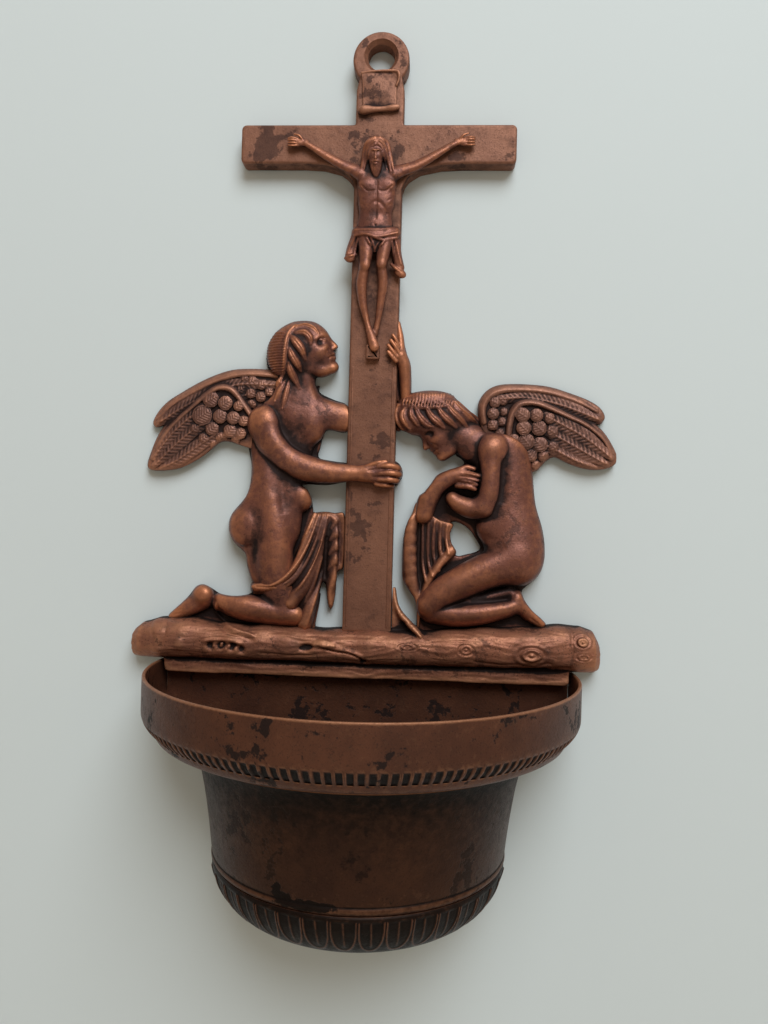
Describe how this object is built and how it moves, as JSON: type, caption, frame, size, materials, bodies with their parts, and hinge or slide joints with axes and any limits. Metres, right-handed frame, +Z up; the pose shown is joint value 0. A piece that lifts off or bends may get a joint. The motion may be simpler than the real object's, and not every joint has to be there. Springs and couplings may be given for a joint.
{
  "type": "holy water pot",
  "caption": "Wall-hung holy water font: a cast crucifix between kneeling angels on a log, hanging by a ring over a half-round fluted copper bowl that holds the water.",
  "frame": {"origin": "centre of the hanging hole in the ring at the top, on the plane of the wall", "axes": "+Z up, +X to the viewer's right as the pot is faced, +Y into the wall, so the front faces -Y"},
  "size_m": [0.1378, 0.0667, 0.2469],
  "materials": {
    "cast_relief": "worn red-brown patina",
    "figures": "worn red-brown patina, bright on the high spots",
    "wings": "dark red-brown patina",
    "drapery": "dark red-brown patina",
    "log": "tan-brown patina",
    "sheet": "dark brown tarnished sheet"
  },
  "bodies": {
    "root": {"cross": "cast_relief", "titulus_scroll": "cast_relief", "foot_rest": "cast_relief", "corpus": "figures", "log_beam": "log", "left_angel": "figures", "left_angel_far_hand": "figures", "left_wings": "wings", "left_drapery": "drapery", "right_angel": "figures", "right_wings": "wings", "right_drapery": "drapery", "rim_band": "sheet", "basin_body": "sheet", "base_pan": "sheet", "basin_back_plate": "sheet"}
  },
  "joints": []
}
